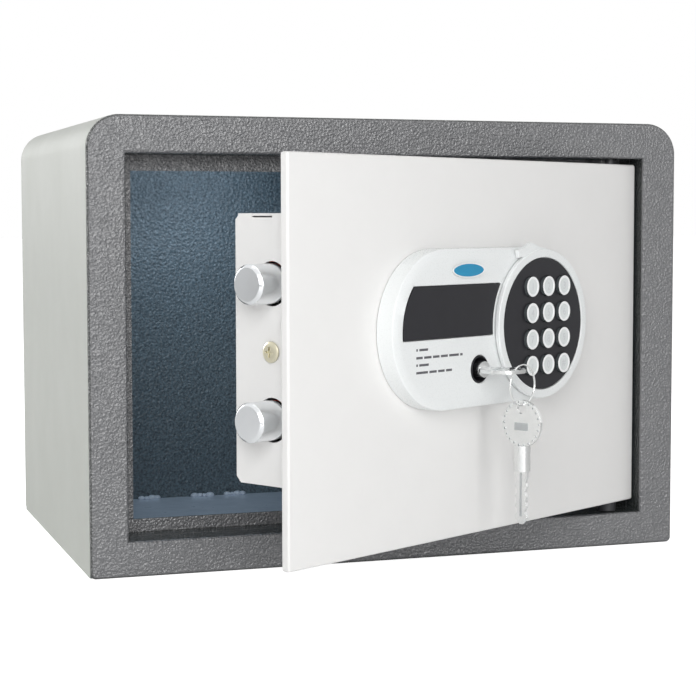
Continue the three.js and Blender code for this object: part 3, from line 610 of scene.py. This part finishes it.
# ---------------------------------------------------------------- the safe's sub-assemblies
@dataclass
class Case:
    """The painted case: front frame, stop frame, shell, floor and back.

    The rounds are the widths of rounded edges. A face of the jamb or the rim has a normal with less than
    its lean along Y. The jamb, from jamb_start behind the front, and the rim are painted dark as painted
    shade. A weld bead is a row of drops at drop_pitch, flattened to drop_shape, inset from the back and
    lifted over the floor.
    """

    shop: Shop
    frame_round: float = 0.0009
    sheet_round: float = 0.0003
    middle: float = 0.125
    jamb_start: float = 0.002
    jamb_lean: float = 0.6
    rim_lean: float = 0.8
    weld_places: tuple[float, ...] = (-0.092, -0.055, -0.032, 0.03, 0.09, 0.14)
    drops: int = 4
    drop_radius: float = 0.0022
    drop_growth: float = 0.0012
    drop_pitch: float = 0.0036
    drop_inset: float = 0.0024
    drop_lift: float = 0.0008
    drop_shape: tuple[float, float, float] = (0.9, 0.8, 0.6)

    def build(self) -> None:
        """Builds and dresses the case."""
        self.jamb("front_frame")
        self.jamb("stop_frame")
        self.lined("body_shell", self.faces_in)
        self.lined("back_panel", faces_front)
        # The floor takes its painted light.
        self.shop.carry("floor_panel", self.sheet_round, look=FLOOR_PAINTED_LIGHT, look_name="floor_painted_light")
        for node in ("hinge_block_upper", "hinge_block_lower"):
            self.shop.carry(node, self.sheet_round)
        self.welds()

    def faces_in(self, face: bpy.types.MeshPolygon) -> bool:
        """Says whether a face of the shell looks to the case's middle line."""
        return face.normal.dot(face.center - Vector((0, face.center.y, self.middle))) < 0

    def jamb(self, node: str) -> None:
        """Finishes a frame whose rim and faces towards the opening get painted shade, a darker copy of its paint.

        Args:
            node: the frame's CAD node.
        """
        made = self.shop.copy(node, f"{node}_made")
        round_edges(made, self.frame_round, 3)
        paint = self.shop.paint
        made.data.materials.append(paint.material("frame_paint", FINISHES["frame_paint"]))
        made.data.materials.append(paint.material("jamb_rim_shade", JAMB_RIM_SHADE))
        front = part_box("front_frame")[0].y
        for face in made.data.polygons:
            outward = face.normal.x * face.center.x + face.normal.z * (face.center.z - self.middle)
            lean = abs(face.normal.y)
            jamb = outward < 0 and lean < self.jamb_lean and face.center.y > front + self.jamb_start
            rim = outward > 0 and lean < self.rim_lean
            # Jamb and rim faces take the painted shade.
            face.material_index = int(jamb or rim)
        self.shop.finish(made, [node])

    def lined(self, node: str, inside: Callable[[bpy.types.MeshPolygon], bool]) -> None:
        """Finishes a sheet whose inner faces have the liner's paint.

        Args:
            node: the sheet's CAD node.
            inside: says of a face whether it is an inner one.
        """
        made = self.shop.copy(node, f"{node}_made")
        round_edges(made, self.sheet_round)
        paint = self.shop.paint
        made.data.materials.append(paint.material("body_paint", FINISHES["body_paint"]))
        made.data.materials.append(paint.material("inside_paint", FINISHES["inside_paint"]))
        for face in made.data.polygons:
            face.material_index = int(inside(face))
        self.shop.finish(made, [node])

    def welds(self) -> None:
        """Adds the short weld beads where the floor meets the back."""
        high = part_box("floor_panel")[1]
        beads = []
        for middle in self.weld_places:
            for step in range(self.drops):
                growth = (step * 5 + round(middle * 1000)) % 3
                across = middle + (step - (self.drops - 1) / 2) * self.drop_pitch
                deselect()
                bpy.ops.mesh.primitive_uv_sphere_add(
                    segments=12, ring_count=6, radius=self.drop_radius + self.drop_growth * growth / 2,
                    location=(across, high.y - self.drop_inset, high.z + self.drop_lift))
                bead = bpy.context.active_object
                bead.scale = self.drop_shape
                settle(bead)
                beads.append(bead)
        made = join("weld_beads", beads)
        smooth(made, 60)
        # The beads take the pale painted light.
        self.shop.add(made, "floor_panel", BEAD_PAINTED_LIGHT, "bead_painted_light")


@dataclass
class Door:
    """The door leaf, its hinge and the lock box behind it."""

    shop: Shop

    def build(self) -> None:
        """Builds and dresses the door."""
        self.shop.carry("door_plate", 0.0004, 3)
        for node, width in {
            "hinge_lug_upper": 0.0006, "hinge_lug_lower": 0.0006, "bolt_plate": 0.0004, "lock_cover": 0.0006,
            "battery_cover": 0.0004, "bolt_carrier": 0.0002, "drive_gear": 0.0001, "gear_motor": 0.0004,
            "bolt_guide": 0.0004, "circuit_board": 0.0001, "battery_tray": 0.0003, "reset_button": 0.0004,
            "lock_housing": 0.0003, "lock_plug": 0.0002, "lock_cam": 0.0002, "keypad_board": 0.0001,
            "bolt_upper": 0.0003, "bolt_lower": 0.0003,
        }.items():
            self.shop.carry(node, width)
        # The hinge pins and spacer take the painted shade.
        for node in ("hinge_pin_upper", "hinge_pin_lower", "hinge_spacer"):
            self.shop.carry(node, 0.0003, look=HINGE_PAINTED_SHADE, look_name="hinge_painted_shade")
        for index in range(1, 5):
            self.shop.carry(f"battery_{index}", 0.0003)
        for node in ("lead_red", "lead_black", "lead_yellow"):
            self.lead(node)
        self.screw()

    def lead(self, node: str) -> None:
        """A wire lead, copied as it is and shaded smooth so that it looks round."""
        made = self.shop.copy(node, f"{node}_made")
        smooth(made, 80)
        self.shop.finish(made, [node])

    def screw(self) -> None:
        """The pan-head screw with its crossed slots."""
        low, high = self.shop.closed_box("side_screw")
        middle = (low + high) / 2
        made = self.shop.copy("side_screw", "side_screw_made")
        made.data.transform(self.shop.shut)
        half, long, deep = 0.00045, 0.0025, 0.0014
        for across, up in ((half, long), (long, half)):
            tool = box(
                (low.x - OVERSHOOT, middle.y - across, middle.z - up),
                (low.x + deep, middle.y + across, middle.z + up))
            cut(made, tool)
        self.shop.swing(made)
        round_edges(made, 0.00015)
        self.shop.finish(made, ["side_screw"])


@dataclass
class Panel:
    """The keypad panel on the door's face.

    Sizes are in metres, but the words and gaps of the print are in millimetres. The bevel runs round the
    face, and the walls are thicknesses. window_fit enlarges the window's opening along X, Y and Z, and
    disc_lap and cup_gap fit the two round ones, which are cut from hole_front before the sides to
    hole_back inside the hollow. A row of print is its height and its words' pitches. A key's rim
    surrounds a lip and a dish, and cap_lean tells its side faces. What is proud stands out of its surface.
    """

    shop: Shop
    bevel_width: float = 0.0055
    bevel_rise: float = 0.0019
    wall: float = 0.0022
    face_wall: float = 0.0008
    window_fit: tuple[float, float, float] = (1.008, 9.0, 1.02)
    disc_lap: float = 0.001
    cup_gap: float = 0.0002
    hole_front: float = 0.01
    hole_back: float = 0.002
    badge_rim: float = 0.0005
    badge_dip: float = 0.00015
    print_rows: tuple[tuple[float, tuple[float, ...]], ...] = (
        (0.1285, (2.4, 8.0)), (0.1245, (6.2, 7.0, 6.4, 6.8, 9.0, 3.2)), (0.1208, (2.4, 8.6)),
        (0.1170, (10.4, 7.0, 6.4, 6.0)))
    print_start: float = 0.0795
    print_half: float = 0.0006
    print_proud: float = 0.00006
    print_depth: float = 0.0002
    word_gap: float = 1.2
    cap_rim: float = 0.0011
    cap_lip: float = 0.0002
    cap_dish: float = 0.0003
    cap_lean: float = 0.3
    sign_size: float = 0.0058
    sign_half: float = 0.00005
    sign_proud: float = 0.00003
    digits: str = "123456789*0#"
    names: tuple[str, ...] = ("1", "2", "3", "4", "5", "6", "7", "8", "9", "star", "0", "hash")

    def build(self) -> None:
        """Builds and dresses the panel."""
        self.shell()
        self.shop.carry("ring_bezel", 0.0004, 3)
        self.shop.carry("keypad_disc", 0.0003)
        self.shop.carry("display_window", 0.0001)
        self.shop.carry("keyhole_cup", 0.0002)
        self.badge()
        self.print_lines()
        self.keys()

    def stadium(self, radius: float, front: float, back: float) -> bpy.types.Object:
        """A prism with two half-round ends, as wide as the panel.

        Args:
            radius: the radius of its ends.
            front: its front station.
            back: its back station.

        Returns:
            The new object.
        """
        low, high = self.shop.closed_box("panel_housing")
        half = (high.z - low.z) / 2
        left = low.x + half
        reach = high.x - half - left
        made = cylinder(radius, front, back, Vector((left, 0, (low.z + high.z) / 2)), 96)
        for corner in made.data.vertices:
            if corner.co.x > left + 1e-6:
                corner.co.x += reach
        return made

    def shell(self) -> None:
        """The moulded shell: straight sides, a wide bevel, and a face with its openings."""
        low, high = self.shop.closed_box("panel_housing")
        half = (high.z - low.z) / 2
        made = self.stadium(half, low.y, high.y)
        made.name = "panel_shell"
        edit(made, faces_front)
        bpy.ops.mesh.inset(thickness=self.bevel_width, depth=self.bevel_rise)
        done()
        inner = low.y + self.face_wall
        hollow = self.stadium(half - self.wall, inner, high.y + OVERSHOOT)
        window = self.shop.copy("display_window", "window_tool")
        window.data.transform(self.shop.shut)
        w_low, w_high = self.shop.closed_box("display_window")
        middle = (w_low + w_high) / 2
        fit = Matrix.Diagonal((*self.window_fit, 1.0))
        grow = Matrix.Translation(middle) @ fit @ Matrix.Translation(-middle)
        window.data.transform(grow)
        disc = self.shop.closed_box("keypad_disc")
        centre = (disc[0] + disc[1]) / 2
        front, back = low.y - self.hole_front, inner + self.hole_back
        round_hole = cylinder((disc[1].x - disc[0].x) / 2 - self.disc_lap, front, back, centre, 96)
        cup = self.shop.closed_box("keyhole_cup")
        centre = (cup[0] + cup[1]) / 2
        keyhole = cylinder((cup[1].x - cup[0].x) / 2 + self.cup_gap, front, back, centre)
        cut(made, hollow, window, round_hole, keyhole)
        round_edges(made, 0.0005, 3, 20)
        self.shop.swing(made)
        self.shop.finish(made, ["panel_housing", "panel_face"])

    def badge(self) -> None:
        """A plain oval badge with a pale rim."""
        low, high = self.shop.closed_box("badge")
        middle = (low + high) / 2
        made = cylinder((high.x - low.x) / 2, low.y, high.y, middle, 64)
        made.name = "badge_made"
        squeeze = (high.z - low.z) / (high.x - low.x)
        flat = Matrix.Translation(middle) @ Matrix.Diagonal((1, 1, squeeze, 1)) @ Matrix.Translation(-middle)
        made.data.transform(flat)
        edit(made, faces_front)
        bpy.ops.mesh.inset(thickness=self.badge_rim, depth=-self.badge_dip)
        done()
        paint = self.shop.paint
        made.data.materials.append(paint.material("rim_white", RIM_WHITE))
        made.data.materials.append(paint.material("badge_blue", FINISHES["badge_blue"]))
        largest = max(made.data.polygons, key=front_area)
        largest.material_index = 1
        round_edges(made, 0.0001, 2, 30)
        self.shop.swing(made)
        self.shop.finish(made, ["badge"])

    def print_lines(self) -> None:
        """Four rows of short bars in place of small print."""
        plate = self.shop.closed_box("door_plate")[0].x
        front = self.shop.closed_box("panel_housing")[0].y - self.bevel_rise
        bars = []
        for z, words in self.print_rows:
            x = plate + self.print_start
            for word in words:
                bars.append(box(
                    (x, front - self.print_proud, z - self.print_half),
                    (x + (word - self.word_gap) * MM, front + self.print_depth, z + self.print_half)))
                x += word * MM
        made = join("panel_print", bars)
        self.shop.swing(made)
        self.shop.add(made, "panel_face", PRINT_GREY, "print_grey")

    def keys(self) -> None:
        """The twelve keys, each a dished cap with its sign."""
        paint = self.shop.paint
        low, high = self.shop.closed_box("key_1")
        first = (low + high) / 2
        radius = (high.x - low.x) / 2
        cap = cylinder(radius, low.y, high.y, first, 48)
        edit(cap, faces_front)
        bpy.ops.mesh.inset(thickness=self.cap_rim, depth=0.0)
        bpy.ops.mesh.inset(thickness=self.cap_lip, depth=-self.cap_dish)
        done()
        cap.data.materials.append(paint.material("rim_white", RIM_WHITE))
        cap.data.materials.append(paint.material("cap_grey", FINISHES["cap_grey"]))
        cap.data.materials.append(paint.material("cap_side", CAP_SIDE))
        centre = max(cap.data.polygons, key=front_area)
        centre.material_index = 1
        round_edges(cap, 0.0003, 3, 60)
        for face in cap.data.polygons:
            if abs(face.normal.y) < self.cap_lean and face.center.y > low.y + self.cap_dish:
                face.material_index = 2
        floor = low.y + self.cap_dish
        for name, sign in zip(self.names, self.digits):
            node = f"key_{name}"
            corner, other = self.shop.closed_box(node)
            move = Matrix.Translation((corner + other) / 2 - first)
            made = twin(cap, f"{node}_made", move)
            self.shop.swing(made)
            self.shop.finish(made, [node])
            self.sign(sign, name, (corner + other) / 2, floor)
        bpy.data.objects.remove(cap)

    def sign(self, text: str, name: str, centre: Vector, floor: float) -> None:
        """The sign in the dish of a key.

        Args:
            text: the sign.
            name: the key's name.
            centre: the middle of its key.
            floor: the station of the dish.
        """
        deselect()
        bpy.ops.object.text_add(rotation=(math.pi / 2, 0, 0))
        made = bpy.context.active_object
        made.data.body = text
        made.data.size = self.sign_size
        made.data.extrude = self.sign_half
        made.data.align_x = "CENTER"
        made.data.align_y = "CENTER"
        pick(made)
        bpy.ops.object.convert(target="MESH")
        made = bpy.context.active_object
        made.location = (centre.x, floor - self.sign_proud, centre.z)
        settle(made)
        middle = sum((Vector(c) for c in made.bound_box), Vector()) / 8
        made.data.transform(Matrix.Translation((centre.x - middle.x, 0, centre.z - middle.z)))
        made.name = f"sign_{name}"
        self.shop.swing(made)
        self.shop.add(made, f"key_{name}", DIGIT_GREY, "digit_grey")


@dataclass(frozen=True)
class Field:
    """A thin raised or milled field on the flat sides of a key.

    Attributes:
        out: how far its middle is from the key's middle plane.
        half_thick: half its thickness.
        half_wide: half its width.
        low: its lower end, from the bow's centre.
        high: its upper end, from the bow's centre.
    """

    out: float
    half_thick: float
    half_wide: float
    low: float
    high: float

    def build(self, side: int) -> bpy.types.Object:
        """The field on one side, 1 or -1, of a key that hangs flat across X."""
        return box(
            (side * self.out - self.half_thick, -self.half_wide, self.low),
            (side * self.out + self.half_thick, self.half_wide, self.high))


@dataclass
class Keys:
    """The key in the lock, the split ring and the spare key.

    The knurls lie on a circle on both sides of a bow, knurl_out from the key's middle plane, and are
    flattened by knurl_flat. stamp is the field on the bow and groove the one on the blade. The ring's
    wire makes its turns from ring_start, in radians, in ring_steps.
    """

    shop: Shop
    bow: float = 0.0245
    knurls: int = 22
    knurl_ring: float = 0.0111
    knurl_radius: float = 0.0006
    knurl_out: float = 0.0009
    knurl_flat: float = 0.35
    stamp: Field = Field(0.00095, 0.00012, 0.0042, -0.0036, 0.0004)
    groove: Field = Field(0.00102, 0.00006, 0.0007, -0.0485, -0.0256)
    turns: float = 1.92
    ring_start: float = 0.9
    ring_steps: int = 128

    def build(self) -> None:
        """Builds and dresses the keys."""
        self.shop.carry("service_key", 0.0002)
        self.shop.carry("spare_key", 0.0002)
        self.bow_detail("service_key", Matrix.Rotation(math.radians(90), 4, "Y"))
        self.bow_detail("spare_key")
        self.ring()

    def bow_detail(self, node: str, turn: Matrix | None = None) -> None:
        """The milled rim and stamped field on both sides of a key's bow, and the groove of its blade.

        Args:
            node: the key's CAD node.
            turn: how a key that points backwards is turned about its length, or None if it hangs.
        """
        low, high = self.shop.closed_box(node)
        if turn is None:
            centre = Vector(((low.x + high.x) / 2, (low.y + high.y) / 2, high.z - self.bow / 2))
        else:
            centre = Vector(((low.x + high.x) / 2, low.y + self.bow / 2, (low.z + high.z) / 2))
        parts = []
        for side in (-1, 1):
            for index in range(self.knurls):
                angle = 2 * math.pi * (index + 0.5) / self.knurls
                deselect()
                bpy.ops.mesh.primitive_uv_sphere_add(
                    segments=8, ring_count=5, radius=self.knurl_radius,
                    location=(
                        side * self.knurl_out, self.knurl_ring * math.sin(angle),
                        self.knurl_ring * math.cos(angle)))
                knurl = bpy.context.active_object
                knurl.scale = (self.knurl_flat, 1.0, 1.0)
                settle(knurl)
                parts.append(knurl)
            parts.append(self.stamp.build(side))
            parts.append(self.groove.build(side))
        made = join(f"{node}_stamping", parts)
        smooth(made, 50)
        if turn is not None:
            made.data.transform(Matrix.Rotation(math.radians(90), 4, "X"))
            made.data.transform(turn)
        made.data.transform(Matrix.Translation(centre))
        self.shop.swing(made)
        self.shop.add(made, node, STAMPED, "stamped_nickel")

    def ring(self) -> None:
        """The split ring: two turns of wire, one against the other."""
        low, high = self.shop.closed_box("key_ring")
        centre = (low + high) / 2
        wire = (high.y - low.y) / 4
        radius = (high.x - low.x) / 2 - wire * 2
        curve = bpy.data.curves.new("key_ring_line", "CURVE")
        curve.dimensions = "3D"
        curve.bevel_depth = wire
        curve.bevel_resolution = 3
        curve.use_fill_caps = True
        line = curve.splines.new("POLY")
        line.points.add(self.ring_steps)
        for index in range(self.ring_steps + 1):
            part = index / self.ring_steps
            angle = 2 * math.pi * self.turns * part - self.ring_start
            away = (part - 0.5) * 2 * wire
            line.points[index].co = (radius * math.sin(angle), away, radius * math.cos(angle), 1)
        made = bpy.data.objects.new("key_ring_made", curve)
        bpy.context.scene.collection.objects.link(made)
        made.location = centre
        pick(made)
        bpy.ops.object.convert(target="MESH")
        made = bpy.context.active_object
        settle(made)
        smooth(made, 60)
        self.shop.swing(made)
        self.shop.finish(made, ["key_ring"])


@dataclass(frozen=True)
class Lamp:
    """A square softbox.

    Attributes:
        name: the lamp's name.
        place: where it is.
        aim: the point it faces.
        size: its side in metres.
        power: in watts.
        colour: the colour of its light.
    """

    name: str
    place: tuple[float, float, float]
    aim: tuple[float, float, float]
    size: float
    power: float
    colour: Colour = (1.0, 1.0, 1.0)


COOL: Colour = (0.72, 0.86, 1.0)
LAMPS = (
    Lamp("key_light", (-0.40, -1.08, 0.50), (-0.02, -0.1, 0.12), 0.5, 5.5),
    Lamp("top_light", (0.1, -0.3, 1.7), (0.0, -0.1, 0.0), 1.6, 5.0),
    Lamp("front_light", (0.32, -2.4, 0.36), (-0.1, 0.0, 0.12), 0.7, 11.5),
    Lamp("cavity_light", (-0.05, 0.03, 0.232), (-0.08, 0.125, 0.212), 0.08, 0.10, COOL),
    Lamp("inner_light", (-0.08, 0.03, 0.2), (-0.08, 0.05, 0.0), 0.08, 0.048, COOL),
    Lamp("side_light", (-1.2, 1.3, 0.6), (-0.17, 0.0, 0.12), 0.8, 12.5),
)


@dataclass
class Studio:
    """The floor, the light and the camera.

    Attributes:
        eye: the camera's place.
        yaw: how far it looks to the right, in degrees.
        pitch: how far it looks up, in degrees.
        lens: its focal length in millimetres.
        shift: its lens shift.
        floor_size: side of the floor.
        floor_drop: how far the floor lies under the safe.
        floor_glow: the floor's emission for other rays and for the camera's.
        sky_level: the sky's strength as a light and as a backdrop.
        sky_mirrored: the share of the backdrop's strength in reflections.
    """

    eye: tuple[float, float, float] = (-0.3396, -1.0739, 0.1952)
    yaw: float = 19.13
    pitch: float = -3.94
    lens: float = 92.4
    shift: tuple[float, float] = (-0.046, -0.0115)
    floor_size: float = 30
    floor_drop: float = 0.0002
    floor_glow: tuple[float, float] = (0.1, 0.9)
    sky_level: tuple[float, float] = (0.22, 1.0)
    sky_mirrored: float = 0.9

    def build(self) -> None:
        """Sets the stage."""
        self.floor()
        self.sky()
        for lamp in LAMPS:
            self.lamp(lamp)
        self.camera()

    def floor(self) -> None:
        """A wide pale floor."""
        deselect()
        bpy.ops.mesh.primitive_plane_add(size=self.floor_size, location=(0, 0, -self.floor_drop))
        made = bpy.context.active_object
        made.name = "studio_floor"
        stuff = bpy.data.materials.new("floor_white")
        stuff.use_nodes = True
        shader = stuff.node_tree.nodes["Principled BSDF"]
        shader.inputs["Base Color"].default_value = (0.95, 0.95, 0.95, 1)
        shader.inputs["Roughness"].default_value = 0.9
        shader.inputs["Specular IOR Level"].default_value = 0.1
        shader.inputs["Emission Color"].default_value = (1, 1, 1, 1)
        path = add_node(stuff.node_tree, "ShaderNodeLightPath")
        level = add_node(stuff.node_tree, "ShaderNodeMapRange")
        level.inputs["To Min"].default_value, level.inputs["To Max"].default_value = self.floor_glow
        stuff.node_tree.links.new(path.outputs["Is Camera Ray"], level.inputs["Value"])
        stuff.node_tree.links.new(level.outputs[0], shader.inputs["Emission Strength"])
        made.data.materials.append(stuff)

    def sky(self) -> None:
        """White all round, dimmer as a light than as a backdrop."""
        world = bpy.data.worlds.new("studio")
        world.use_nodes = True
        bpy.context.scene.world = world
        tree = world.node_tree
        back = tree.nodes["Background"]
        back.inputs["Color"].default_value = (1, 1, 1, 1)
        path = add_node(tree, "ShaderNodeLightPath")
        mirrored = add_node(tree, "ShaderNodeMath", operation="MULTIPLY")
        mirrored.inputs[1].default_value = self.sky_mirrored
        most = add_node(tree, "ShaderNodeMath", operation="MAXIMUM")
        level = add_node(tree, "ShaderNodeMapRange")
        level.inputs["To Min"].default_value, level.inputs["To Max"].default_value = self.sky_level
        tree.links.new(path.outputs["Is Glossy Ray"], mirrored.inputs[0])
        tree.links.new(path.outputs["Is Camera Ray"], most.inputs[0])
        tree.links.new(mirrored.outputs[0], most.inputs[1])
        tree.links.new(most.outputs[0], level.inputs["Value"])
        tree.links.new(level.outputs[0], back.inputs["Strength"])

    def lamp(self, lamp: Lamp) -> None:
        """Puts up one softbox, hidden from the camera."""
        data = bpy.data.lights.new(lamp.name, "AREA")
        data.color = lamp.colour
        data.shape = "SQUARE"
        data.size = lamp.size
        data.energy = lamp.power
        made = bpy.data.objects.new(lamp.name, data)
        bpy.context.scene.collection.objects.link(made)
        made.location = lamp.place
        made.rotation_euler = (Vector(lamp.aim) - Vector(lamp.place)).to_track_quat("-Z", "Y").to_euler()
        made.visible_camera = False

    def camera(self) -> None:
        """The camera, before the case, to its left and a little under its top."""
        data = bpy.data.cameras.new("camera")
        data.sensor_width = 36.0
        data.lens = self.lens
        data.shift_x, data.shift_y = self.shift
        data.clip_end = 60.0
        made = bpy.data.objects.new("camera", data)
        bpy.context.scene.collection.objects.link(made)
        made.location = self.eye
        made.rotation_euler = (math.radians(90 + self.pitch), 0, -math.radians(self.yaw))
        bpy.context.scene.camera = made


def main() -> None:
    """Builds the safe and its studio."""
    logging.basicConfig(level=logging.INFO, format="%(message)s")
    bpy.context.scene.view_settings.view_transform = "Standard"
    shop = Shop()
    Case(shop).build()
    Door(shop).build()
    Panel(shop).build()
    Keys(shop).build()
    Studio().build()
    left = sorted(set(shop.slots) - shop.standing)
    if left:
        log.info("nodes shown as they are: %s", left)


if __name__ == "__main__":
    main()
